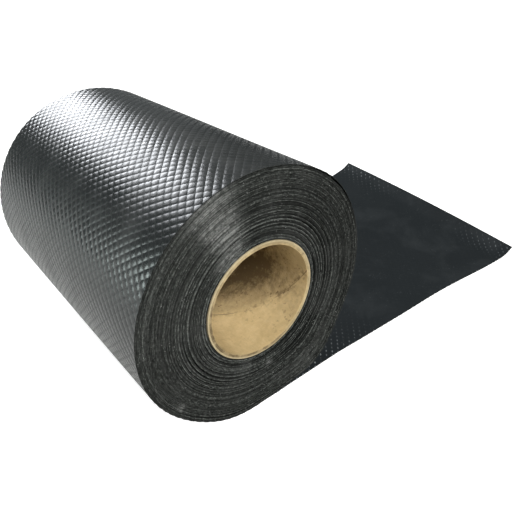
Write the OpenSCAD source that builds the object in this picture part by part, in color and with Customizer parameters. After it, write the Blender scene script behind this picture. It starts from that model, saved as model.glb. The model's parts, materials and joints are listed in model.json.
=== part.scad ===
// A roll of damp proof course: embossed plastic membrane wound on a cardboard core,
// lying on its side with the free end of the sheet run out along the floor.
// The roll's axis is Y, the free end runs out along +X and +Z is up.
// The origin is on the axis, at the middle of the width.

/* [Core] */
// Bore of the cardboard core
core_bore_d = 76; // [50:1:110]
// Wall thickness of the cardboard core
core_wall = 3; // [2:0.5:8]

/* [Winding] */
// Width of the membrane, along the roll's axis
roll_width = 225; // [100:12.5:450]
// Thickness of the plain sheet
sheet_gauge = 0.46; // [0.4:0.02:0.6]
// Air that the embossed face keeps between one turn and the next
turn_gap = 0.164; // [0.15:0.002:0.3]
// Turns wound on the core
turn_count = 74; // [40:1:90]
// How far the gap between two turns can be seen into at each end
gap_depth = 1.2; // [1:0.1:3]
// Most that a turn's edges stand to one side of their neighbours'
edge_wander = 0.35; // [0:0.05:0.4]

/* [Free end] */
// How far the sheet lies flat on the floor over its whole width, from below the axis
flat_reach = 140; // [110:5:140]
// Reach of the cut edge's near corner
near_corner_reach = 331; // [325:1:400]
// Reach of the cut edge's far corner
far_corner_reach = 324; // [322:1:400]
// Length that is curled up off the floor along the far side; it narrows to none at the near side
curl_length = 178; // [120:1:180]
// Radius of that curl at the far side
curl_radius = 560; // [500:10:900]
// Length over which the cut edge turns up further at the near corner
near_flip_length = 19; // [8:1:30]
// Lift that this adds at the near corner
near_flip_lift = 5.4; // [1:0.1:7]
// Length over which the cut edge turns up further at the far corner
far_flip_length = 11; // [8:1:30]
// Lift that this adds at the far corner
far_flip_lift = 3.1; // [1:0.1:5]
// How much more it turns up halfway between the corners
edge_bow = 2; // [0:0.1:3]
// How far the loose end has slewed towards the near side
end_slew = 6; // [0:0.5:8]
// Where along the floor it starts to slew
slew_start = 195; // [150:5:210]
// Length over which it slews
slew_length = 115; // [80:5:120]

/* [Hidden] */
core_r = core_bore_d / 2 + core_wall;
turn_pitch = sheet_gauge + turn_gap;
roll_r = core_r + turn_count * turn_pitch;
floor_z = -roll_r;
half_width = roll_width / 2;

// The sheet leaves the roll just past its lowest line, where it is already inside the last turn
sheet_root = 3;

// Steps of the curled end, along the sheet and across it
curl_steps = 24;
width_steps = 14;

// How much of the steps' spacing narrows towards the cut edge, where the curl is tightest
step_crowding = 0.6;

// Step angles that keep neighbouring turns from wandering alike
wander_step_a = 83;
wander_step_b = 37;

membrane_color = [0.13, 0.14, 0.15];
core_color = [0.76, 0.63, 0.43];

$fn = 180;

// Sideways place of a turn: its two edges shift together, as the sheet has one width.
// The last turn runs out into the free end, so it has none.
function turn_shift(k) =
    k == turn_count - 1 ? 0
    : edge_wander * (sin(k * wander_step_a) + sin(k * wander_step_b)) / 2;

function turn_r(k) = core_r + k * turn_pitch;

// One turn's edge and the gap that follows it, at the near end (side -1) or the far end (side 1)
function turn_edge(k, side) =
    let (
        y = side * half_width + turn_shift(k),
        y_gap = side * (half_width - gap_depth),
        last = k == turn_count - 1,
        outer_r = last ? roll_r : turn_r(k) + sheet_gauge
    )
    last ? [[turn_r(k), y], [outer_r, y]]
    : [[turn_r(k), y], [outer_r, y], [outer_r, y_gap], [turn_r(k + 1), y_gap]];

function end_profile(side) = [for (k = [0:turn_count - 1]) each turn_edge(k, side)];

function reversed(points) = [for (i = [len(points) - 1:-1:0]) points[i]];

// Eases from 0 to 1 as t does
function ease(t) = let (c = min(max(t, 0), 1)) c * c * (3 - 2 * c);

function blend(a, b, t) = a + (b - a) * t;

// The cut edge, where v runs from 0 at the near side to 1 at the far side
function edge_reach(v) = blend(near_corner_reach, far_corner_reach, v);

// The free end curls up as part of a cone whose point is the near corner
function curl_start(v) = edge_reach(v) - curl_length * v;
function curl_angle(x, v) = x <= curl_start(v) ? 0 : asin((x - curl_start(v)) / (curl_radius * v));

// The last of it, at the cut edge, turns up further
function flip_length(v) = blend(near_flip_length, far_flip_length, v);
function flip_lift(v) = blend(near_flip_lift, far_flip_lift, v) + 4 * edge_bow * v * (1 - v);
function flip_part(x, v) = max(0, 1 - (edge_reach(v) - x) / flip_length(v));

function lift(x, v) =
    curl_radius * v * (1 - cos(curl_angle(x, v))) + flip_lift(v) * pow(flip_part(x, v), 2);
function slope_angle(x, v) =
    atan(tan(curl_angle(x, v)) + 2 * flip_lift(v) * flip_part(x, v) / flip_length(v));
function slew(x) = -end_slew * ease((x - slew_start) / slew_length);

// The tilted sheet covers less of the floor than it does flat
function plan_width(x) = sqrt(pow(roll_width, 2) - pow(lift(x, 1) - lift(x, 0), 2));

function station_part(t) = blend(t, t * (2 - t), step_crowding);
function station_x(i, v) = blend(flat_reach, edge_reach(v), station_part(i / curl_steps));

// A point of the curled sheet, up its thickness by t
function curl_point(i, j, t) =
    let (v = j / width_steps, x = station_x(i, v), a = slope_angle(x, v))
    [
        x - t * sin(a),
        slew(x) - half_width + plan_width(x) * v,
        floor_z + lift(x, v) + t * cos(a)
    ];

// Winds the membrane: one turned solid whose ends show the turns
module wound_turns() {
    rotate([-90, 0, 0])
        rotate_extrude()
            polygon(concat(end_profile(-1), reversed(end_profile(1))));
}

// The stretch of the free end that lies flat
module flat_run() {
    translate([sheet_root, -half_width, floor_z])
        cube([flat_reach - sheet_root, roll_width, sheet_gauge]);
}

// The cut end, still curled from the roll and lifted most at its far corner
module curled_end() {
    row = width_steps + 1;
    layer = row * (curl_steps + 1);
    points = [
        for (t = [0, sheet_gauge]) for (i = [0:curl_steps]) for (j = [0:width_steps])
            curl_point(i, j, t)
    ];
    cells = [for (i = [0:curl_steps - 1]) for (j = [0:width_steps - 1]) i * row + j];
    under = [for (p = cells) each [[p, p + row, p + row + 1], [p, p + row + 1, p + 1]]];
    over = [for (f = under) [f[2] + layer, f[1] + layer, f[0] + layer]];
    near_side = [for (i = [0:curl_steps]) i * row];
    far_side = [for (i = [curl_steps:-1:0]) i * row + width_steps];
    root_edge = [for (j = [width_steps:-1:0]) j];
    cut_edge = [for (j = [0:width_steps]) curl_steps * row + j];
    rims = [
        for (line = [near_side, far_side, root_edge, cut_edge])
            for (k = [0:len(line) - 2]) each [
                [line[k], line[k] + layer, line[k + 1] + layer],
                [line[k], line[k + 1] + layer, line[k + 1]]
            ]
    ];
    polyhedron(points = points, faces = concat(under, over, rims));
}

module membrane() {
    color(membrane_color)
        union() {
            wound_turns();
            flat_run();
            curled_end();
        }
}

module core_tube() {
    color(core_color)
        rotate([-90, 0, 0])
            difference() {
                cylinder(h = roll_width, r = core_r, center = true);
                cylinder(h = roll_width + 2, d = core_bore_d, center = true);
            }
}

membrane();
core_tube();
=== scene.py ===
"""The looks of a roll of damp proof course: embossed sheet wound on a cardboard core."""

import json
import math

import bmesh
import bpy
import numpy as np
from mathutils import Matrix, Vector


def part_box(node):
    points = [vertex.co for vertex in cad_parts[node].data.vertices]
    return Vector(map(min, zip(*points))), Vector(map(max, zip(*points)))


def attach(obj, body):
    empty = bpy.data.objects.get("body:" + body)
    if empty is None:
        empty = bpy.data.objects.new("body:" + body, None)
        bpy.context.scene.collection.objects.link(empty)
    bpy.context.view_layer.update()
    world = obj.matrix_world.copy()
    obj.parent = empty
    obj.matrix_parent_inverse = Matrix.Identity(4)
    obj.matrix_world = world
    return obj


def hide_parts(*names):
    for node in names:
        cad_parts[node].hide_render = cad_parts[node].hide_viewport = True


MM = 0.001
TURN = 2 * math.pi

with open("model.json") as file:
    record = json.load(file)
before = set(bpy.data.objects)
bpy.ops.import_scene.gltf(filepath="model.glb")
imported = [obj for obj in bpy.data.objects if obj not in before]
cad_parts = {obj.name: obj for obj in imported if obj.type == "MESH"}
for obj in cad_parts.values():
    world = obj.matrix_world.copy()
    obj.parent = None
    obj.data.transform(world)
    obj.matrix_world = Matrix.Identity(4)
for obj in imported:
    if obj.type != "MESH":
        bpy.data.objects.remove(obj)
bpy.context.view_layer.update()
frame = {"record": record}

# ---------------------------------------------------------------------------------------
# Sizes
# ---------------------------------------------------------------------------------------

_, core_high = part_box("core_tube")
sheet_low, sheet_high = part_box("membrane")
bore = next(m for m in frame["record"]["mounts"] if m["name"] == "core_bore")

HALF_WIDTH = core_high.y
CORE_R = core_high.x
BORE_R = bore["dims"]["r_mm"] * MM
FLOOR_Z = sheet_low.z
ROLL_R = -FLOOR_Z
NEAR_REACH = sheet_high.x

# The sheet, and how it winds
GAUGE = 0.46 * MM
TURN_GAP = 0.164 * MM
PITCH = GAUGE + TURN_GAP

# The free end, as the solid has it. Of each pair, the first is for the near side.
FAR_REACH = NEAR_REACH - 7 * MM
CURL_LENGTH = 178 * MM
CURL_R = 560 * MM
FLIP_LENGTH = (19 * MM, 11 * MM)
FLIP_LIFT = (5.4 * MM, 3.1 * MM)
EDGE_BOW = 2 * MM
END_SLEW = 6 * MM
SLEW_START = 195 * MM
SLEW_LENGTH = 115 * MM

# The embossing: lozenges, raised like pillows between crossing diagonal grooves
CELL_ALONG = 6.45 * MM
CELLS_ACROSS = 32
CELL_ACROSS = 2 * HALF_WIDTH / CELLS_ACROSS
EMBOSS_DEPTH = 0.30 * MM
EMBOSS_FINISH = 0.24 * MM
GROOVE_EVENNESS = 0.4
GROOVE_POWER = 3
SAMPLES = 4

# The outermost turn goes this far past its own start. Near its near side it stands off the
# roll at two places: angle round from the lowest line, spread, gap.
OVERLAP = math.radians(20)
LOOSE_PLACES = (
    (math.radians(226), math.radians(17), 1.0 * MM),
    (math.radians(150), math.radians(38), 0.35 * MM),
)
LOOSE_DEPTH = 70 * MM
BARREL = 0.3 * MM

# Where turns have slipped out of the near end: angle round from the lowest line, spread, how
# far the outermost has slipped, and the radius beyond which they have. The free end is part of
# the first slip only.
SLIPS = (
    (math.radians(20), math.radians(20), 2.4 * MM, 62 * MM),
    (math.radians(326), math.radians(18), 4.6 * MM, 42 * MM),
)

# How far the free end's near side strays inward: distance from under the axis, stray
NEAR_SIDE_STRAY = (
    (0 * MM, 0 * MM),
    (14 * MM, -0.5 * MM),
    (45 * MM, 0.2 * MM),
    (78 * MM, 1.0 * MM),
    (110 * MM, 0.3 * MM),
    (160 * MM, -0.4 * MM),
    (205 * MM, -0.4 * MM),
    (250 * MM, 0 * MM),
    (340 * MM, 0 * MM),
)

# The slit sides of the free end and the outermost turn are as dark as this all over
SLIT_SIDE_TONE = 0.12

# The wound turns: how many, the points round each, and how deep the gaps at their ends go. Over
# the last part of a turn its gap changes into the next one's, and gaps are wider on one side.
TURNS_SHOWN = 72
TURN_STEPS = 200
EDGE_GAP_DEPTH = 3 * MM
SHIFT_FROM = 0.85
GAP_SWAY = 0.2

# The wider gaps, from the outside inwards: radius and width
WIDE_GAPS = (
    (85.2 * MM, 0.3 * MM),
    (82.9 * MM, 0.3 * MM),
    (79.0 * MM, 0.25 * MM),
    (70.3 * MM, 0.3 * MM),
    (66.5 * MM, 0.35 * MM),
    (63.4 * MM, 0.45 * MM),
    (62.1 * MM, 0.5 * MM),
    (60.6 * MM, 0.55 * MM),
    (57.5 * MM, 0.65 * MM),
    (55.0 * MM, 1.0 * MM),
    (52.3 * MM, 0.4 * MM),
    (50.4 * MM, 0.5 * MM),
    (48.3 * MM, 0.55 * MM),
    (44.9 * MM, 0.6 * MM),
    (42.9 * MM, 0.3 * MM),
)

# The other gaps, loose outside the tight turns. Each is scattered by a share within these two.
LOOSE_GAP = 0.13 * MM
TIGHT_GAP = 0.04 * MM
TIGHT_R = 64.5 * MM
GAP_SCATTER = (0.4, 1.6)

# How a turn's edge strays sideways: turns from one change to the next, millimetres, seed
EDGE_STRAYS = (
    (1.0, 0.22, 21),
    (3.5, 0.30, 22),
    (0.21, 0.12, 23),
)
EDGE_TILT = 0.11 * MM

# How light the turns' edges are. Further out each is more like the next, and by the core they
# come in lighter and darker bands.
FINE_FROM = 60 * MM
FINE_LENGTH = 8 * MM
BANDED_TO = 46 * MM
BANDED_FADE = 7 * MM

# Turns with dull edges, which are less dull at the upper right: radius, spread, share taken off
DULL_TURNS = (
    (52.5 * MM, 3.2 * MM, 0.55),
    (63.5 * MM, 4.5 * MM, 0.36),
)

# Dust and painted sheen: a thin film of dust, and the scuffs and patches of painted sheen on the
# near end, which are angle round from the lowest line, spread, radius, spread, strength
THIN_DUST = 0.015
SCUFFS_AND_SHEEN = (
    # The first two: a patch of painted sheen at the upper left, with some dust in it
    (math.radians(155), math.radians(10.5), 72 * MM, 24 * MM, 0.56),
    (math.radians(150), math.radians(13), 46.5 * MM, 5 * MM, 0.5),
    # A weaker patch of painted sheen at the lower right
    (math.radians(330), math.radians(24), 76 * MM, 5 * MM, 0.11),
    # Scuffs and pale marks
    (math.radians(15), math.radians(5.5), 50 * MM, 7 * MM, 0.13),
    (math.radians(353.5), math.radians(2.2), 54 * MM, 3 * MM, 0.5),
    (math.radians(51), math.radians(2), 81 * MM, 3 * MM, 0.5),
    # Painted light: a broad, faint lightening over the left side
    (math.radians(85), math.radians(50), 68 * MM, 24 * MM, 0.06),
)

# The core's plies, from the outside inwards: how soiled each one's end is. The inner ones are
# dirtier on their ragged side and in the joints between them.
PLY_SOIL = (0.10, 0.14, 0.22, 0.24, 0.24)
CORE_PLIES = len(PLY_SOIL)
DIRTY_PLIES = 3
PLY_JOINT_SOIL = 0.35
RAGGED_SOIL = 0.42
LIP_SOIL = 0.15

# The core: points round it, how far its ends stand out, and how worn their plies are, in
# millimetres
CORE_STEPS = 288
CORE_PROUD = 0.9 * MM
CORE_PROUD_FAR = 0.3 * MM
PLY_SET_BACK = 0.3
PLY_WEAR = 0.10
PLY_TEARS = 0.25
PLY_GROOVE = 0.12
LIP_DROP = 0.2

# The bore wall: its rings, how deep its dents are, and the seam of its inner ply
WALL_RINGS = (-0.998, *np.linspace(-0.985, 0.985, 25), 0.998)
WALL_DENT = 0.05 * MM
SEAM_PITCH = 164 * MM
SEAM_DEPTH = 4.6 * MM

# The floor reaches this far each way, just under the roll
FLOOR_REACH = 14.0
FLOOR_GAP = 0.05 * MM

# What the lights face
LIT_SPOT = (0.05, 0.0, 0.0)

# The camera: its place and what it looks at, in millimetres, then its roll and lens
CAMERA_PLACE = (-167.3, -313.4, 191.6)
CAMERA_AIM = (74.6, -14.6, -42.3)
CAMERA_ROLL = math.radians(-0.204)
CAMERA_LENS = 36.736

TINY = 1e-9


# ---------------------------------------------------------------------------------------
# Helpers
# ---------------------------------------------------------------------------------------

def ease(t):
    """From 0 to 1, slowly at both ends."""
    c = np.clip(t, 0, 1)
    return c * c * (3 - 2 * c)


def blend(a, b, t):
    return a + (b - a) * t


def hump(x, middle, spread):
    """1 in the middle, falling away to both sides."""
    return np.exp(-((x - middle) / spread) ** 2)


def round_off(turned, at):
    """The shorter way round between two angles."""
    return (turned - at + math.pi) % TURN - math.pi


def wander(positions, spacing, seed, period=None):
    """A smooth curve through random heights from -1 to 1, one each spacing."""
    rng = np.random.default_rng(seed)
    t = np.asarray(positions, float) / spacing
    count = round(period / spacing) if period else int(np.ceil(t.max())) + 2
    heights = rng.uniform(-1, 1, count)
    low = np.floor(t).astype(int)
    return blend(heights[low % count], heights[(low + 1) % count], ease(t - low))


def squares(ids):
    """The corners of each square of a grid of point numbers."""
    return ids[:-1, :-1], ids[1:, :-1], ids[1:, 1:], ids[:-1, 1:]


def mesh_piece(name, points, faces, materials, face_material=None, smooth=True):
    """A closed mesh in the part's frame, which rides on the part's one body."""
    mesh = bpy.data.meshes.new(name)
    mesh.from_pydata([tuple(p) for p in points], [], faces)
    for material in materials:
        mesh.materials.append(material)
    if face_material is not None:
        mesh.polygons.foreach_set("material_index", np.asarray(face_material, np.int32))
    mesh.polygons.foreach_set("use_smooth", np.full(len(faces), smooth))
    work = bmesh.new()
    work.from_mesh(mesh)
    bmesh.ops.recalc_face_normals(work, faces=work.faces)
    work.to_mesh(mesh)
    work.free()
    mesh.update()
    piece = bpy.data.objects.new(name, mesh)
    bpy.context.scene.collection.objects.link(piece)
    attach(piece, "root")
    return piece


def point_values(piece, name, values):
    """Stores a number or a vector for each point, for the material to read."""
    values = np.asarray(values, np.float32)
    kind, field = ("FLOAT_VECTOR", "vector") if values.ndim == 2 else ("FLOAT", "value")
    layer = piece.data.attributes.new(name, kind, "POINT")
    layer.data.foreach_set(field, values.ravel())


# ---------------------------------------------------------------------------------------
# Materials
# ---------------------------------------------------------------------------------------

class Nodes:
    """Short calls for building a node tree."""

    def __init__(self, tree):
        self.tree = tree

    def add(self, kind, inputs=None, **settings):
        node = self.tree.nodes.new(kind)
        for key, value in settings.items():
            setattr(node, key, value)
        for key, value in (inputs or {}).items():
            self.set(node.inputs[key], value)
        return node

    def set(self, socket, value):
        if isinstance(value, bpy.types.NodeSocket):
            self.tree.links.new(value, socket)
        else:
            socket.default_value = value

    def math(self, operation, *values):
        node = self.add("ShaderNodeMath", operation=operation)
        for i, value in enumerate(values):
            self.set(node.inputs[i], value)
        return node.outputs[0]

    def noise(self, where, scale, detail=3.0, roughness=0.5, distortion=0.0):
        inputs = {"Vector": where, "Scale": scale, "Detail": detail,
                  "Roughness": roughness, "Distortion": distortion}
        return self.add("ShaderNodeTexNoise", inputs).outputs["Fac"]

    def spread(self, value, low, high, to_low=0.0, to_high=1.0):
        inputs = {"Value": value, "From Min": low, "From Max": high,
                  "To Min": to_low, "To Max": to_high}
        return self.add("ShaderNodeMapRange", inputs).outputs[0]

    def mix(self, share, a, b):
        node = self.add("ShaderNodeMix", data_type="RGBA")
        self.set(node.inputs[0], share)
        self.set(node.inputs[6], a)
        self.set(node.inputs[7], b)
        return node.outputs[2]

    def stretch(self, where, scale):
        return self.add("ShaderNodeMapping", {"Vector": where, "Scale": scale}).outputs[0]

    def bump(self, height):
        inputs = {"Height": height, "Strength": 1.0, "Distance": 1.0}
        return self.add("ShaderNodeBump", inputs).outputs[0]

    def attribute(self, name, output="Fac"):
        return self.add("ShaderNodeAttribute", attribute_name=name).outputs[output]

    def place(self):
        return self.add("ShaderNodeTexCoord").outputs["Object"]

    def group(self, tree, output, **inputs):
        node = self.add("ShaderNodeGroup", node_tree=tree)
        for key, value in inputs.items():
            self.set(node.inputs[key], value)
        return node.outputs[output]


def new_material(name, colour, roughness, specular=0.5):
    """A material with one shader."""
    material = bpy.data.materials.new(name)
    material.use_nodes = True
    material.node_tree.nodes.clear()
    nodes = Nodes(material.node_tree)
    shader = nodes.add("ShaderNodeBsdfPrincipled")
    out = nodes.add("ShaderNodeOutputMaterial")
    nodes.set(out.inputs["Surface"], shader.outputs[0])
    shader.inputs["Base Color"].default_value = (*colour, 1)
    shader.inputs["Roughness"].default_value = roughness
    shader.inputs["Specular IOR Level"].default_value = specular
    return material, nodes, shader


def shader_group(name, inputs, outputs):
    """An empty node group with its sockets."""
    group = bpy.data.node_groups.new(name, "ShaderNodeTree")
    for socket, (kind, value) in inputs.items():
        made = group.interface.new_socket(socket, in_out="INPUT", socket_type=kind)
        if value is not None:
            made.default_value = value
    for socket in outputs:
        group.interface.new_socket(socket, in_out="OUTPUT", socket_type="NodeSocketFloat")
    nodes = Nodes(group)
    return group, nodes, nodes.add("NodeGroupInput"), nodes.add("NodeGroupOutput")


def handling_dust_group():
    """Pale dust in soft patches and specks: how much of it there is."""
    inputs = {
        "Vector": ("NodeSocketVector", None),
        "Patches": ("NodeSocketFloat", 0.3),
        "Specks": ("NodeSocketFloat", 0.3),
    }
    group, nodes, given, made = shader_group("handling_dust", inputs, ["Dust"])
    where = given.outputs["Vector"]
    cloud = nodes.spread(nodes.noise(where, 24.0, 5.0, 0.62, 0.4), 0.5, 0.78)
    cloud = nodes.math("MULTIPLY", cloud, given.outputs["Patches"])
    speck = nodes.spread(nodes.noise(where, 800.0, 1.0), 0.68, 0.75)
    thin = nodes.spread(nodes.noise(where, 60.0, 2.0), 0.42, 0.6)
    speck = nodes.math("MULTIPLY", nodes.math("MULTIPLY", speck, thin), given.outputs["Specks"])
    nodes.set(made.inputs["Dust"], nodes.math("MAXIMUM", cloud, speck))
    return group


def lozenges_group():
    """The embossing, from the place on the sheet.

    Height is 0 on top of a lozenge and -1 where grooves cross. Middle is an oval on each top.
    """
    group, nodes, given, made = shader_group(
        "lozenges", {"Vector": ("NodeSocketVector", None)}, ["Height", "Middle"])
    split = nodes.add("ShaderNodeSeparateXYZ", {"Vector": given.outputs["Vector"]})
    along = nodes.math("DIVIDE", split.outputs["X"], CELL_ALONG)
    across = nodes.math("DIVIDE", split.outputs["Y"], CELL_ACROSS)
    off = []
    for operation in ("ADD", "SUBTRACT"):
        place = nodes.math("PINGPONG", nodes.math(operation, along, across), 0.5)
        off.append(nodes.math("MULTIPLY", place, 2.0))
    curved = [nodes.math("POWER", u, GROOVE_POWER) for u in off]
    crossing = nodes.math("MULTIPLY", nodes.math("MULTIPLY", *curved), GROOVE_EVENNESS)
    depth = nodes.math("SUBTRACT", nodes.math("ADD", *curved), crossing)
    nodes.set(made.inputs["Height"], nodes.math("DIVIDE", depth, GROOVE_EVENNESS - 2))
    short_way = nodes.math("MULTIPLY", off[0], 1.5)
    long_way = nodes.math("MULTIPLY", off[1], 0.6)
    oval = nodes.math("ADD", short_way, long_way)
    nodes.set(made.inputs["Middle"], nodes.spread(oval, 0.15, 0.5, 1.0, 0.0))
    return group


DUST = handling_dust_group()
LOZENGES = lozenges_group()


def embossed_face():
    """The sheet's outer face: black, satin, each lozenge a little polished.

    Dust settles on it, and near the near side most of it lies where grooves cross.
    """
    black = (0.014, 0.016, 0.016)
    worn_black = (0.022, 0.025, 0.025, 1)
    pale_grey = (0.16, 0.16, 0.15, 1)
    material, nodes, shader = new_material("embossed_face", black, 0.3)
    lay = nodes.attribute("lay", "Vector")
    relief = nodes.group(LOZENGES, "Height", Vector=lay)

    grime = nodes.group(DUST, "Dust", Vector=nodes.place(), Patches=0.12, Specks=0.3)
    settled = nodes.spread(nodes.noise(lay, 70.0, 5.0, 0.65), 0.3, 0.7, 0.4, 1.5)
    settled = nodes.math("MULTIPLY", settled, nodes.attribute("dust_and_painted_light"))
    across = nodes.add("ShaderNodeSeparateXYZ", {"Vector": lay}).outputs["Y"]
    in_crossing = nodes.spread(relief, -1.0, -0.7, 1.0, 0.0)
    near_side = nodes.spread(across, 0.0, 60 * MM, 4.0, 0.0)
    caught = nodes.math("MULTIPLY", in_crossing, near_side)
    settled = nodes.math("MULTIPLY", settled, nodes.math("ADD", caught, 1.0))
    grime = nodes.math("MINIMUM", nodes.math("ADD", grime, settled), 1.0)
    tone = nodes.mix(nodes.noise(lay, 30.0, 3.0), (*black, 1), worn_black)
    nodes.set(shader.inputs["Base Color"], nodes.mix(grime, tone, pale_grey))

    rubbed = nodes.spread(nodes.noise(lay, 45.0, 4.0), 0.35, 0.7, 0.18, 0.28)
    rough = nodes.math("SUBTRACT", rubbed, nodes.math("MULTIPLY", relief, 0.12))
    rough = nodes.math("ADD", rough, nodes.math("MULTIPLY", grime, 0.5))
    nodes.set(shader.inputs["Roughness"], rough)

    finish = nodes.math("MULTIPLY", relief, EMBOSS_FINISH)
    waves = nodes.noise(nodes.stretch(lay, (1.0, 0.35, 1.0)), 26.0, 2.0)
    height = nodes.math("ADD", finish, nodes.math("MULTIPLY", waves, 0.3 * MM))
    nodes.set(shader.inputs["Normal"], nodes.bump(height))
    return material


def smooth_face():
    """The sheet's inner face: the same plastic, only faintly embossed, with pale dots on its
    lozenges, painted glints that are strongest near its edges, and dust.
    """
    black = (0.013, 0.016, 0.0175)
    worn_black = (0.017, 0.021, 0.023, 1)
    pale_grey = (0.42, 0.45, 0.46, 1)
    material, nodes, shader = new_material("smooth_face", black, 0.42, specular=0.3)
    lay = nodes.attribute("lay", "Vector")

    grime = nodes.group(DUST, "Dust", Vector=nodes.place(), Patches=0.04, Specks=0.12)
    # Painted glints: a pale dot on each lozenge, strongest near the edges
    ovals = nodes.group(LOZENGES, "Middle", Vector=lay)
    dots = nodes.math("MULTIPLY", ovals, nodes.attribute("dust_and_painted_light"))
    worn = nodes.spread(nodes.noise(lay, 240.0, 3.0, 0.7), 0.38, 0.62)
    pale = nodes.math("MAXIMUM", grime, nodes.math("MULTIPLY", dots, worn))
    tone = nodes.mix(nodes.noise(lay, 12.0, 3.0), (*black, 1), worn_black)
    nodes.set(shader.inputs["Base Color"], nodes.mix(pale, tone, pale_grey))

    rubbed = nodes.spread(nodes.noise(lay, 30.0, 4.0), 0.3, 0.7, 0.38, 0.5)
    nodes.set(shader.inputs["Roughness"], rubbed)
    relief = nodes.group(LOZENGES, "Height", Vector=lay)
    faint = nodes.math("MULTIPLY", relief, -0.03 * MM)
    nodes.set(shader.inputs["Normal"], nodes.bump(faint))
    return material


def slit_edge():
    """The sheet's cut edges, duller and greyer than its faces, dirtier in places. Their tone carries
    painted highlights and painted shade, and the near end has patches of painted sheen.
    """
    black = (0.03, 0.031, 0.03)
    darkest = (0.005, 0.006, 0.005, 1)
    lightest = (0.128, 0.137, 0.125, 1)
    pale_grey = (0.29, 0.295, 0.28, 1)
    material, nodes, shader = new_material("slit_edge", black, 0.5, specular=0.12)
    lay = nodes.attribute("lay", "Vector")
    where = nodes.place()

    speckle = nodes.spread(nodes.noise(lay, 900.0, 2.0, 0.6), 0.36, 0.64, 0.35, 1.15)
    broken = nodes.spread(nodes.noise(lay, 300.0, 3.0, 0.7), 0.34, 0.66, 0.0, 2.0)
    grain = nodes.spread(nodes.noise(where, 560.0, 3.0, 0.65), 0.36, 0.64, 0.42, 1.55)
    lit = nodes.math("MULTIPLY", nodes.attribute("tone"), nodes.math("MULTIPLY", speckle, broken))
    lit = nodes.math("MULTIPLY", lit, grain)

    grime = nodes.group(DUST, "Dust", Vector=where, Patches=0.12, Specks=0.8)
    patchy = nodes.spread(nodes.noise(where, 420.0, 4.0, 0.7), 0.38, 0.62, 0.25, 1.0)
    # Dust, and patches of painted sheen on the near end
    dust_and_painted_light = nodes.math("MULTIPLY", nodes.attribute("dust_and_painted_light"), patchy)
    pale = nodes.math("MINIMUM", nodes.math("ADD", grime, dust_and_painted_light), 1.0)
    shade = nodes.mix(lit, darkest, lightest)
    nodes.set(shader.inputs["Base Color"], nodes.mix(pale, shade, pale_grey))
    nodes.set(shader.inputs["Roughness"], nodes.spread(lit, 0, 1, 0.6, 0.38))

    height = nodes.math("MULTIPLY", nodes.noise(where, 1500.0, 2.0), 0.05 * MM)
    nodes.set(shader.inputs["Normal"], nodes.bump(height))
    return material


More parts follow.
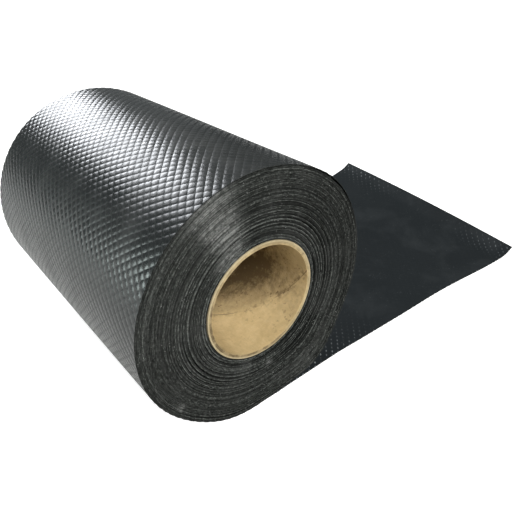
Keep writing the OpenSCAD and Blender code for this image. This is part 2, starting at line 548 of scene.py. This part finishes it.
def kraft_board():
    """Spirally wound board: tan, with fibres, flecks, soiling, painted shade deeper in the bore and
    the seam of its inner ply.
    """
    tan = (0.66, 0.50, 0.26)
    dark_tan, light_tan = (0.55, 0.405, 0.20, 1), (0.74, 0.565, 0.295, 1)
    dark_grey, light_grey = (0.42, 0.34, 0.205, 1), (0.58, 0.485, 0.30, 1)
    fibre_tan = (0.76, 0.62, 0.38, 1)
    soil_and_shade_brown = (0.06, 0.038, 0.016, 1)
    fleck_brown = (0.14, 0.09, 0.045, 1)
    seam_brown = (0.12, 0.08, 0.04, 1)
    material, nodes, shader = new_material("kraft_board", tan, 0.85, specular=0.2)
    where = nodes.place()
    bore_wall = nodes.attribute("bore_wall")

    # The board: tan on its wall and greyer where it is cut
    cloud = nodes.spread(nodes.noise(where, 38.0, 6.0, 0.8), 0.32, 0.62)
    fibres = nodes.noise(nodes.stretch(where, (1.0, 0.22, 1.0)), 900.0, 3.0)
    shade = nodes.mix(cloud, dark_tan, light_tan)
    shade = nodes.mix(nodes.spread(fibres, 0.55, 0.8, 0, 0.35), shade, fibre_tan)
    cut_end = nodes.spread(bore_wall, 0.0, 0.12, 1.0, 0.0)
    shade = nodes.mix(cut_end, shade, nodes.mix(cloud, dark_grey, light_grey))

    # Its soiling, which is worst a little beyond the seam, and on the ragged rim, with painted shade
    # further beyond the seam, deeper in the bore. The bore wall is also darker on its right side.
    split = nodes.add("ShaderNodeSeparateXYZ", {"Vector": where})
    angle = nodes.math("ARCTAN2", split.outputs["Z"], split.outputs["X"])
    deep = nodes.math("ADD", split.outputs["Y"], HALF_WIDTH - SEAM_DEPTH)
    run = nodes.math("ADD", deep, nodes.math("MULTIPLY", angle, SEAM_PITCH / TURN))
    beyond_seam = nodes.math("WRAP", run, 0.0, SEAM_PITCH)
    near_seam = nodes.spread(beyond_seam, 0.0, 6 * MM, 0.08, 0.36)
    # Painted shade, further beyond the seam where the bore is deeper
    shade_deeper_in_bore = nodes.spread(beyond_seam, 12 * MM, 31 * MM, 0.0, 0.54)
    faded = nodes.spread(beyond_seam, 66 * MM, 96 * MM, 1.0, 0.0)
    blotch = nodes.spread(nodes.noise(where, 150.0, 6.0, 0.78, 0.2), 0.34, 0.62, 0.5, 1.12)
    soil_and_shade = nodes.math("MULTIPLY", nodes.math("ADD", near_seam, shade_deeper_in_bore), faded)
    soil_and_shade = nodes.math("MULTIPLY", soil_and_shade, nodes.math("MULTIPLY", blotch, bore_wall))
    uneven = nodes.spread(nodes.noise(where, 260.0, 3.0), 0.36, 0.6, 0.5, 1.1)
    rim = nodes.math("MULTIPLY", nodes.attribute("darkened"), uneven)
    soil_and_shade = nodes.math("MINIMUM", nodes.math("ADD", soil_and_shade, rim), 0.9)
    shade = nodes.mix(soil_and_shade, shade, soil_and_shade_brown)

    # Flecks, more of them where it is darker
    flecks = nodes.spread(nodes.noise(where, 420.0, 2.0), 0.59, 0.68, 0, 0.75)
    sparse = nodes.spread(nodes.noise(where, 60.0, 2.0), 0.4, 0.62, 0.1, 1.0)
    sparse = nodes.math("MULTIPLY", sparse, nodes.spread(soil_and_shade, 0.0, 0.3, 0.35, 1.0))
    shade = nodes.mix(nodes.math("MULTIPLY", flecks, sparse), shade, fleck_brown)

    # The seam, a thin dark line that comes and goes, smudged near the near end
    gap = nodes.math("ABSOLUTE", nodes.math("WRAP", run, -SEAM_PITCH / 2, SEAM_PITCH / 2))
    seam = nodes.spread(gap, 0.2 * MM, 0.7 * MM, 0.75, 0.0)
    faint = nodes.spread(nodes.noise(where, 55.0, 2.0), 0.4, 0.56, 0.1, 1.0)
    seam = nodes.math("MULTIPLY", seam, faint)
    smudge = nodes.spread(nodes.noise(where, 210.0, 3.0, 0.6), 0.47, 0.6, 0.0, 0.65)
    smudge = nodes.math("MULTIPLY", smudge, nodes.spread(gap, 1.2 * MM, 4 * MM, 1.0, 0.0))
    smudge = nodes.math("MULTIPLY", smudge, nodes.spread(deep, 20 * MM, 50 * MM, 1.0, 0.2))
    seam = nodes.math("MAXIMUM", seam, smudge)
    seam = nodes.math("MULTIPLY", seam, nodes.math("GREATER_THAN", bore_wall, 0.1))
    nodes.set(shader.inputs["Base Color"], nodes.mix(seam, shade, seam_brown))

    height = nodes.math("MULTIPLY", fibres, 0.12 * MM)
    nodes.set(shader.inputs["Normal"], nodes.bump(height))
    return material


# ---------------------------------------------------------------------------------------
# The sheet: its free end and its outermost turn, one continuous piece
# ---------------------------------------------------------------------------------------

def edge_reach(v):
    return blend(NEAR_REACH, FAR_REACH, v)


def free_end_lift(x, v):
    """Height off the floor and slope of the free end.

    v goes from 0 at the near side to 1 at the far side.
    """
    radius = np.maximum(CURL_R * v, TINY)
    behind = np.clip(x - (edge_reach(v) - CURL_LENGTH * v), 0, None)
    angle = np.where(v > 0, np.arcsin(np.clip(behind / radius, 0, 0.5)), 0)
    flip_length = blend(*FLIP_LENGTH, v)
    flip_lift = blend(*FLIP_LIFT, v) + 4 * EDGE_BOW * v * (1 - v)
    flip = np.clip(1 - (edge_reach(v) - x) / flip_length, 0, None)
    lift = radius * (1 - np.cos(angle)) + flip_lift * flip ** 2
    return lift, np.arctan(np.tan(angle) + 2 * flip_lift * flip / flip_length)


def free_end(part, v, up):
    """Points of the free end.

    part goes from 0 at the cut edge to 1 under the axis, and up is the height in the sheet.
    """
    x = edge_reach(v) * (1 - part)
    lift, slope = free_end_lift(x, v)
    rise = free_end_lift(x, np.ones_like(v))[0] - free_end_lift(x, np.zeros_like(v))[0]
    width = np.sqrt((2 * HALF_WIDTH) ** 2 - rise ** 2)
    slew = -END_SLEW * ease((x - SLEW_START) / SLEW_LENGTH)
    at, stray = np.array(NEAR_SIDE_STRAY).T
    near_side = np.interp(x, at, stray) - slipped(-x / ROLL_R, ROLL_R, SLIPS[:1])
    y = slew + (1 - v) ** 2 * near_side - HALF_WIDTH + width * v
    return np.stack([x - up * np.sin(slope), y, FLOOR_Z + lift + up * np.cos(slope)], -1)


def slipped(turned, r, slips=SLIPS):
    """How far the turns' edges stand out of the near end, at an angle round from the lowest line."""
    return sum(
        far * hump(round_off(turned, at), 0, spread) * ease((r - from_r) / (ROLL_R - from_r))
        for at, spread, far, from_r in slips)


def outer_turn(turned, v, up):
    """Points of the outermost turn, which goes up the left side and over the top."""
    y = blend(-HALF_WIDTH, HALF_WIDTH, v)
    near = ease(1 - (y + HALF_WIDTH) / LOOSE_DEPTH)
    loose = sum(gap * hump(turned, at, spread) for at, spread, gap in LOOSE_PLACES)
    barrel = BARREL * np.sin(turned / 2) ** 2 * (1 - (2 * v - 1) ** 2)
    r = ROLL_R - PITCH * turned / TURN + near * loose + barrel - up
    y = y - slipped(turned, ROLL_R) * (1 - v) ** 2
    return np.stack([-r * np.sin(turned), y, -r * np.cos(turned)], -1)


def emboss(row, column):
    """The lozenges' height at the lattice of samples: 0 on top, -1 where grooves cross."""
    one, other = ((2 * np.abs(p - np.round(p))) ** GROOVE_POWER
                  for p in ((row + column) / SAMPLES, (row - column) / SAMPLES))
    return -(one + other - GROOVE_EVENNESS * one * other) / (2 - GROOVE_EVENNESS)


def sheet_grid(end_rows, turn_rows, columns, up_of):
    """Rows of points from the cut edge to where the outermost turn goes under itself."""
    v = np.linspace(0, 1, columns + 1)[None, :]
    row = np.arange(end_rows + turn_rows + 1)[:, None]
    up = up_of(row, v)
    part = np.clip(row / end_rows, 0, 1)
    turned = np.clip((row - end_rows) / turn_rows, 0, 1) * (TURN + OVERLAP)
    flat = free_end(part * np.ones_like(v), v * np.ones_like(part), up)
    wound = outer_turn(turned * np.ones_like(v), v * np.ones_like(part), up)
    return np.where((row <= end_rows)[..., None], flat, wound)


def strip_between(short, long):
    """Triangles that join a coarse line of points to a fine one alongside it."""
    faces, done = [], 0
    ratio = (len(long) - 1) / (len(short) - 1)
    for i in range(len(short) - 1):
        half = round((i + 0.5) * ratio)
        end = round((i + 1) * ratio)
        faces += [(short[i], long[k], long[k + 1]) for k in range(done, half)]
        faces.append((short[i], long[half], short[i + 1]))
        faces += [(short[i + 1], long[k], long[k + 1]) for k in range(half, end)]
        done = end
    return faces


def outer_face_dust(along, across):
    """Dust that has settled along the roll's top, most of it from the near side to the middle."""
    turned = (along - NEAR_REACH) / ROLL_R
    on_top = hump(turned, math.radians(176), math.radians(13))
    return 0.14 * on_top * ease((200 * MM - across) / (100 * MM))


def inner_face_glints_and_dust(along, across):
    """Painted glints and dust for the inner face: most along the near side next to the roll and at
    the corners of the cut edge, a thin film elsewhere.
    """
    by_roll = ease((along - 190 * MM) / (110 * MM)) * (along < NEAR_REACH)
    near_side = hump(across, 0, 17 * MM) * by_roll
    far_corner = hump(along, 0, 15 * MM) * ease((across - 130 * MM) / (80 * MM))
    near_corner = hump(along, 9 * MM, 11 * MM) * ease(1 - across / (80 * MM))
    film = np.full_like(along, THIN_DUST)
    return np.maximum.reduce([1.6 * near_side, 0.6 * far_corner, 0.5 * near_corner, film])


def outer_sheet(materials):
    """The free end and the outermost turn.

    The materials are for the outer face, the inner face and the slit edges.
    """
    end_rows = round(NEAR_REACH / CELL_ALONG * SAMPLES)
    turn_rows = round((TURN + OVERLAP) * ROLL_R / CELL_ALONG * SAMPLES)
    rows = end_rows + turn_rows
    fine = CELLS_ACROSS * SAMPLES
    coarse = fine // 8

    def outer_up(row, v):
        return -EMBOSS_DEPTH * emboss(row, np.round(v * fine))

    def inner_up(row, v):
        return GAUGE + 0 * row * v

    outer = sheet_grid(end_rows, turn_rows, fine, outer_up)
    inner = sheet_grid(end_rows, turn_rows, coarse, inner_up)
    outer_id = np.arange(outer.shape[0] * outer.shape[1]).reshape(outer.shape[:2])
    inner_id = outer_id.size + np.arange(inner.shape[0] * inner.shape[1]).reshape(inner.shape[:2])

    faces, face_material = [], []

    def keep(new, slot):
        faces.extend(new)
        face_material.extend([slot] * len(new))

    # The outer face: each square is split along the side of its lozenge
    a, b, c, d = squares(outer_id)
    row, column = np.indices(a.shape)
    even = ((row + column) % 2 == 0)[..., None]
    first = np.where(even, np.stack([a, d, b], -1), np.stack([a, d, c], -1))
    second = np.where(even, np.stack([b, d, c], -1), np.stack([a, c, b], -1))
    keep(first.reshape(-1, 3).tolist() + second.reshape(-1, 3).tolist(), 0)

    # The inner face, the slit sides and the two ends
    keep(np.stack(squares(inner_id), -1).reshape(-1, 4).tolist(), 1)
    for side in (0, -1):
        o, i = outer_id[:, side], inner_id[:, side]
        keep(np.stack([o[:-1], o[1:], i[1:], i[:-1]], -1).tolist(), 2)
    for end in (0, -1):
        keep(strip_between(inner_id[end].tolist(), outer_id[end].tolist()), 2)

    points = np.concatenate([outer.reshape(-1, 3), inner.reshape(-1, 3)])
    piece = mesh_piece("outer_sheet", points, faces, materials, face_material)
    piece.data.set_sharp_from_angle(angle=math.radians(50))

    # Dust on the outer face, painted glints and dust on the inner face
    lays, dust_and_glint_values = [], []
    for grid, face_dust_and_glints in ((outer, outer_face_dust), (inner, inner_face_glints_and_dust)):
        along, across = np.meshgrid(
            np.arange(rows + 1) * CELL_ALONG / SAMPLES,
            np.linspace(0, 2 * HALF_WIDTH, grid.shape[1]), indexing="ij")
        lays.append(np.stack([along, across, np.zeros_like(along)], -1).reshape(-1, 3))
        dust_and_glint_values.append(face_dust_and_glints(along, across).ravel())
    point_values(piece, "lay", np.concatenate(lays))
    point_values(piece, "dust_and_painted_light", np.concatenate(dust_and_glint_values))
    point_values(piece, "tone", np.full(len(points), SLIT_SIDE_TONE))
    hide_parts("membrane")
    return piece


# ---------------------------------------------------------------------------------------
# The turns under the outermost one: a closed coil whose ends show every turn's edge
# ---------------------------------------------------------------------------------------

def turn_gaps(r):
    """The gap under each turn, from the outside inwards, which together fill the winding."""
    scatter = np.random.default_rng(7).uniform(*GAP_SCATTER, TURNS_SHOWN + 1)
    waiting = list(WIDE_GAPS)
    gaps, wide = [], []
    for share in scatter:
        r -= GAUGE
        wide.append(bool(waiting) and r < waiting[0][0] + waiting[0][1] / 2 + PITCH / 2)
        usual = LOOSE_GAP if r > TIGHT_R else TIGHT_GAP
        gaps.append(waiting.pop(0)[1] if wide[-1] else usual * share)
        r -= gaps[-1]
    gaps, wide = np.array(gaps), np.array(wide)
    gaps[~wide] *= (TURNS_SHOWN * TURN_GAP - gaps[wide].sum()) / gaps[~wide].sum()
    gaps[-1] = gaps[0]
    return gaps


def air_between_turns(gaps, t, turned):
    """The gap inside each point of the winding."""
    steps, turns = TURN_STEPS, TURNS_SHOWN
    k = np.minimum(np.floor(t + TINY).astype(int), turns - 1)
    air = blend(gaps[k], gaps[k + 1], ease((t - k - SHIFT_FROM) / (1 - SHIFT_FROM)))
    air *= 1 + GAP_SWAY * np.sin(turned + 3 * wander(t, 4.0, seed=11, period=turns))
    total = air[:-1].reshape(turns, steps).sum(0)
    air[:-1] *= np.tile(turns * TURN_GAP / total, turns)
    air[-1] = air[0]
    return air


def winding():
    """The coil point by point, from the outside inwards.

    Each point has its turn, its angle round from the lowest line, its radius and the gap inside it.
    """
    steps, turns = TURN_STEPS, TURNS_SHOWN
    count = steps * turns + 1
    t = np.arange(count) / steps
    turned = OVERLAP + TURN * t
    start_r = ROLL_R - PITCH * (1 + OVERLAP / TURN)
    air = air_between_turns(turn_gaps(start_r), t, turned)
    radius = np.empty(count + steps)
    radius[:steps + 1] = start_r - (GAUGE + air[0]) * np.arange(steps + 1) / steps
    for c in range(1, count):
        radius[c + steps] = radius[c] - GAUGE - air[c]
    return t, turned, radius[:count], air


def edge_tone(t, turned, radius, air):
    """How light the turns' edges are: each differs from its neighbours. Edges beside the wider gaps
    get a painted highlight, and those on the right side painted shade, except by the core, where
    they are painted lighter.
    """
    own = wander(t, 1.0, seed=25)
    beside = wander(t + 1, 1.0, seed=25) + wander(t - 1, 1.0, seed=25)
    bright = np.clip(0.5 + 0.45 * (own - 0.35 * beside), 0, 1) ** 2.6
    fine = (0.5 + 0.5 * wander(t, 0.6, seed=27)) ** 2.2
    outer = ease((radius - FINE_FROM) / FINE_LENGTH)
    bright = blend(blend(bright, fine, 0.65 * outer), 0.25, 0.35 * outer)
    # Painted highlight on the edges beside the wider gaps
    gap_beside = np.concatenate([air[:TURN_STEPS], air[:-TURN_STEPS]]) / TURN_GAP - 1
    tone = 1.1 * bright + 0.10 * wander(t, 0.07, seed=26) + 0.22 * gap_beside
    by_core = 1 - ease((radius - BANDED_TO) / BANDED_FADE)
    tone *= 1 + 0.8 * by_core * wander(t, 2.5, seed=34)
    dull = sum(share * hump(radius, reach, spread) for reach, spread, share in DULL_TURNS)
    dull *= 1 - 0.9 * hump(round_off(turned, math.radians(230)), 0, math.radians(55))
    # Painted shade on the right side, lighter by the core
    right = hump(round_off(turned, math.radians(275)), 0, math.radians(50))
    tone *= (1 - dull) * (1 + (0.3 * by_core - 0.15 - 0.25 * outer) * right)
    return tone


def near_end_dust_and_sheen(t, turned, radius):
    """Dust and painted sheen on the turns' edges at the near end: a thin film of dust, the scuffs,
    and the patches of painted sheen.
    """
    dust_and_painted_light = THIN_DUST
    for at, spread, reach, reach_spread, strength in SCUFFS_AND_SHEEN:
        off = np.abs(round_off(turned, at) / spread)
        dust_and_painted_light = dust_and_painted_light + strength * np.exp(-off ** 3 - ((radius - reach) / reach_spread) ** 4)
    return dust_and_painted_light * (0.95 + 0.75 * wander(t, 0.8, seed=28))


def coil_faces(top, foot, pit, far_top, far_foot, far_pit):
    """The coil's faces, from the numbers of its points.

    At each end these run along the edge's top, its foot, and the bottom of the gap under it.
    """
    steps = TURN_STEPS

    def between(p, q):
        return np.stack([p[:-1], q[:-1], q[1:], p[1:]], -1).tolist()

    faces = []
    for out, inn, gap in ((top, foot, pit), (far_top, far_foot, far_pit)):
        faces += between(out, inn)
        faces += between(inn[:len(gap)], gap)
        faces += between(gap, out[steps:])
    faces += between(top[:steps + 1], far_top[:steps + 1])
    faces += between(foot[-steps - 1:], far_foot[-steps - 1:])
    near_start = (top[0], foot[0], pit[0], top[steps])
    far_start = (far_top[steps], far_pit[0], far_foot[0], far_top[0])
    near_end = (foot[-steps - 1], pit[-1], top[-1], foot[-1])
    far_end = (far_foot[-1], far_top[-1], far_pit[-1], far_foot[-steps - 1])
    for step in (near_start + far_start, near_end + far_end):
        faces.append([int(i) for i in step])
    return faces


def wound_turns(material):
    """The coil, with its edges standing a little unevenly and nicked by the embossing."""
    t, turned, radius, air = winding()
    stand = sum(far * wander(t, length, seed) for length, far, seed in EDGE_STRAYS)
    stand = stand * MM
    tilt = EDGE_TILT * wander(t, 0.8, seed=24)
    tone = edge_tone(t, turned, radius, air)

    def line(r, y, part=slice(None)):
        return np.stack([-r * np.sin(turned[part]), y, -r * np.cos(turned[part])], -1)

    run = np.cumsum(radius) * TURN / TURN_STEPS
    off_top = run / CELL_ALONG - np.round(run / CELL_ALONG)
    nick = EMBOSS_DEPTH * (2 * np.abs(off_top)) ** GROOVE_POWER
    inner_r = radius - GAUGE
    with_gap = slice(0, len(t) - TURN_STEPS)
    gap_r = (inner_r[with_gap] + radius[TURN_STEPS:]) / 2
    chains = []
    for side in (-1, 1):
        y = side * HALF_WIDTH + stand - slipped(turned, radius)
        gap_y = np.full(gap_r.shape, side * (HALF_WIDTH - EDGE_GAP_DEPTH))
        chains.append(line(radius - nick, y + tilt))
        chains.append(line(inner_r, y - tilt))
        chains.append(line(gap_r, gap_y, with_gap))
    starts = np.cumsum([0] + [len(chain) for chain in chains])
    ids = [np.arange(start, end) for start, end in zip(starts[:-1], starts[1:])]
    points = np.concatenate(chains)
    piece = mesh_piece("wound_turns", points, coil_faces(*ids), [material], smooth=False)

    # Dust and painted sheen on the near end's edges
    dust_and_painted_light = near_end_dust_and_sheen(t, turned, radius)
    clean = np.zeros(len(t))
    in_gap = np.zeros(len(gap_r))
    lay = np.stack([run, 0.01 * t, 0 * t], -1)
    point_values(piece, "tone", np.concatenate([tone, tone, in_gap] * 2))
    point_values(piece, "dust_and_painted_light", np.concatenate([dust_and_painted_light, dust_and_painted_light, in_gap, clean, clean, in_gap]))
    point_values(piece, "lay", np.concatenate([lay, lay, lay[with_gap]] * 2))
    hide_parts("membrane")
    return piece


# ---------------------------------------------------------------------------------------
# The core
# ---------------------------------------------------------------------------------------

def core_end_rings(side, angle):
    """The rings of one end, from the outer wall to the bore.

    Each has its radius, its depth, its soiling and how far it takes the bore wall's colour.
    """
    ply = (CORE_R - BORE_R) / CORE_PLIES
    ragged = 0.5 + 0.5 * np.cos(angle - math.radians(215))
    proud = CORE_PROUD if side < 0 else CORE_PROUD_FAR
    rings = []
    for k in range(CORE_PLIES):
        outer_r = CORE_R - k * ply
        dirty = k >= CORE_PLIES - DIRTY_PLIES
        wear = PLY_WEAR * wander(angle, TURN / 48, seed=40 + k, period=TURN) * (0.4 + ragged)
        wear += PLY_WEAR * wander(angle, TURN / 12, seed=60 + k, period=TURN)
        if k == CORE_PLIES - 1:
            tears = np.clip(wander(angle, TURN / 90, seed=71, period=TURN), 0, 1)
            wear -= PLY_TEARS * ragged * tears
        y = side * (HALF_WIDTH + proud + (wear - PLY_SET_BACK) * MM)
        darkened = PLY_SOIL[k] + RAGGED_SOIL * dirty * ragged ** 2
        joint = (0, PLY_GROOVE, PLY_JOINT_SOIL * dirty)
        for at, drop, dirt in (joint, (0.25, 0, 0), (0.75, 0, 0)):
            ring_r = np.full(CORE_STEPS, outer_r - at * ply)
            rings.append((ring_r, y - side * drop * MM, darkened + dirt, 0.025 * k))
    lip_r = np.full(CORE_STEPS, BORE_R)
    rings.append((lip_r, y - side * LIP_DROP * MM, LIP_SOIL, 0.1))
    return rings


def core_piece(material):
    """A lathed tube whose ends show the plies, worn and a little ragged."""
    angle = TURN * np.arange(CORE_STEPS) / CORE_STEPS
    # Less soil and painted shade on the upper right of the bore wall
    wall_share = 1 - 0.45 * hump(angle, math.radians(40), math.radians(35))
    # The bore wall is darker along its right side
    darker_right_wall = 0.32 * hump(round_off(angle, 0), math.radians(-25), math.radians(27))
    wall = []
    for share in WALL_RINGS:
        dent = WALL_DENT * wander(angle, TURN / 9, seed=int(100 + 50 * share), period=TURN)
        dent = dent * (abs(share) < 0.99)
        wall.append((BORE_R + dent, np.full(CORE_STEPS, share * HALF_WIDTH), darker_right_wall, wall_share))
    rings = core_end_rings(-1, angle) + wall + core_end_rings(1, angle)[::-1]

    points = np.concatenate([
        np.stack([r * np.cos(angle), y, r * np.sin(angle)], -1) for r, y, _, _ in rings])
    ids = np.arange(len(points)).reshape(len(rings), CORE_STEPS)
    ids = np.concatenate([ids, ids[:1]], 0)
    ids = np.concatenate([ids, ids[:, :1]], 1)
    faces = np.stack(squares(ids), -1).reshape(-1, 4).tolist()
    piece = mesh_piece("board_core", points, faces, [material])
    piece.data.set_sharp_from_angle(angle=math.radians(40))
    for name, at in (("darkened", 2), ("bore_wall", 3)):
        point_values(piece, name, np.concatenate([ring[at] * np.ones(CORE_STEPS) for ring in rings]))
    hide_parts("core_tube")
    return piece


# ---------------------------------------------------------------------------------------
# Floor, light and camera
# ---------------------------------------------------------------------------------------

def pale_floor():
    """A matt floor that takes the shadow and is white to the camera, fully so further off."""
    mesh = bpy.data.meshes.new("floor")
    corners = [(x * FLOOR_REACH, y * FLOOR_REACH, FLOOR_Z - FLOOR_GAP)
               for x, y in ((-1, -1), (1, -1), (1, 1), (-1, 1))]
    mesh.from_pydata(corners, [], [(0, 1, 2, 3)])
    floor = bpy.data.objects.new("floor", mesh)
    bpy.context.scene.collection.objects.link(floor)
    material = bpy.data.materials.new("pale_floor")
    material.use_nodes = True
    material.node_tree.nodes.clear()
    nodes = Nodes(material.node_tree)
    matt = nodes.add("ShaderNodeBsdfDiffuse", {"Color": (0.80, 0.79, 0.765, 1)})
    glow = nodes.add("ShaderNodeEmission", {"Color": (1, 1, 1, 1)})
    seen = nodes.add("ShaderNodeLightPath").outputs["Is Camera Ray"]
    away = nodes.add("ShaderNodeVectorMath", {0: nodes.place()}, operation="LENGTH")
    white = nodes.spread(away.outputs["Value"], 0.9, 2.6, 0.75, 1.0)
    nodes.set(glow.inputs["Strength"], nodes.math("MULTIPLY", seen, white))
    both = nodes.add("ShaderNodeAddShader")
    nodes.set(both.inputs[0], matt.outputs[0])
    nodes.set(both.inputs[1], glow.outputs[0])
    out = nodes.add("ShaderNodeOutputMaterial")
    nodes.set(out.inputs["Surface"], both.outputs[0])
    mesh.materials.append(material)


def studio_world():
    """White to the camera. As light it is dim, and a little dimmer near the horizon."""
    world = bpy.data.worlds.new("studio")
    bpy.context.scene.world = world
    world.use_nodes = True
    nodes = Nodes(world.node_tree)
    world.node_tree.nodes.clear()
    direction = nodes.add("ShaderNodeTexCoord").outputs["Generated"]
    height = nodes.add("ShaderNodeSeparateXYZ", {"Vector": direction}).outputs["Z"]
    ambient = nodes.add("ShaderNodeBackground", {"Color": (0.92, 0.99, 1.0, 1)})
    nodes.set(ambient.inputs["Strength"], nodes.spread(height, 0.05, 0.3, 0.10, 0.11))
    white = nodes.add("ShaderNodeBackground", {"Color": (1, 1, 1, 1), "Strength": 1.0})
    seen = nodes.add("ShaderNodeLightPath").outputs["Is Camera Ray"]
    either = nodes.add("ShaderNodeMixShader", {0: seen})
    nodes.set(either.inputs[1], ambient.outputs[0])
    nodes.set(either.inputs[2], white.outputs[0])
    out = nodes.add("ShaderNodeOutputWorld")
    nodes.set(out.inputs["Surface"], either.outputs[0])


def softbox(name, place, size, power, colour=(1, 1, 1)):
    """A soft rectangular light that faces the roll."""
    light = bpy.data.lights.new(name, "AREA")
    light.shape = "RECTANGLE"
    light.size, light.size_y = size
    light.energy = power
    light.color = colour
    lamp = bpy.data.objects.new(name, light)
    lamp.location = place
    lamp.rotation_mode = "QUATERNION"
    facing = Vector(LIT_SPOT) - Vector(place)
    lamp.rotation_quaternion = facing.to_track_quat("-Z", "Y")
    bpy.context.scene.collection.objects.link(lamp)


def studio_lights():
    softbox("window_behind", (0.15, 2.2, 1.05), (1.0, 0.7), 25, (0.93, 0.955, 1.0))
    softbox("window_upper", (-0.15, 2.1, 1.6), (1.3, 0.9), 10, (0.94, 0.96, 1.0))
    softbox("card_behind_right", (1.05, 2.0, 0.42), (0.9, 0.6), 0.28, (0.92, 0.99, 1.0))
    softbox("strip_left", (-0.9, 0.56, 0.23), (0.25, 0.36), 2.9, (0.85, 0.97, 0.94))
    softbox("key_above_front", (-0.5, -1.8, 1.7), (1.2, 1.2), 66)
    softbox("fill_right", (1.9, -0.8, 1.2), (1.4, 1.4), 2.5)


def show_camera():
    """From in front, to the left and above."""
    data = bpy.data.cameras.new("camera")
    data.sensor_width = 36.0
    data.lens = CAMERA_LENS
    data.clip_start, data.clip_end = 0.01, 50
    camera = bpy.data.objects.new("camera", data)
    place = Vector(CAMERA_PLACE) * MM
    aim = Vector(CAMERA_AIM) * MM
    level = (aim - place).to_track_quat("-Z", "Y").to_matrix()
    turn = level @ Matrix.Rotation(CAMERA_ROLL, 3, "Z")
    camera.matrix_world = Matrix.Translation(place) @ turn.to_4x4()
    bpy.context.scene.collection.objects.link(camera)
    bpy.context.scene.camera = camera


# ---------------------------------------------------------------------------------------
# The scene
# ---------------------------------------------------------------------------------------

show_camera()
pale_floor()
studio_world()
studio_lights()

edge_material = slit_edge()
outer_sheet([embossed_face(), smooth_face(), edge_material])
wound_turns(edge_material)
core_piece(kraft_board())

bpy.context.scene.view_settings.view_transform = "Standard"
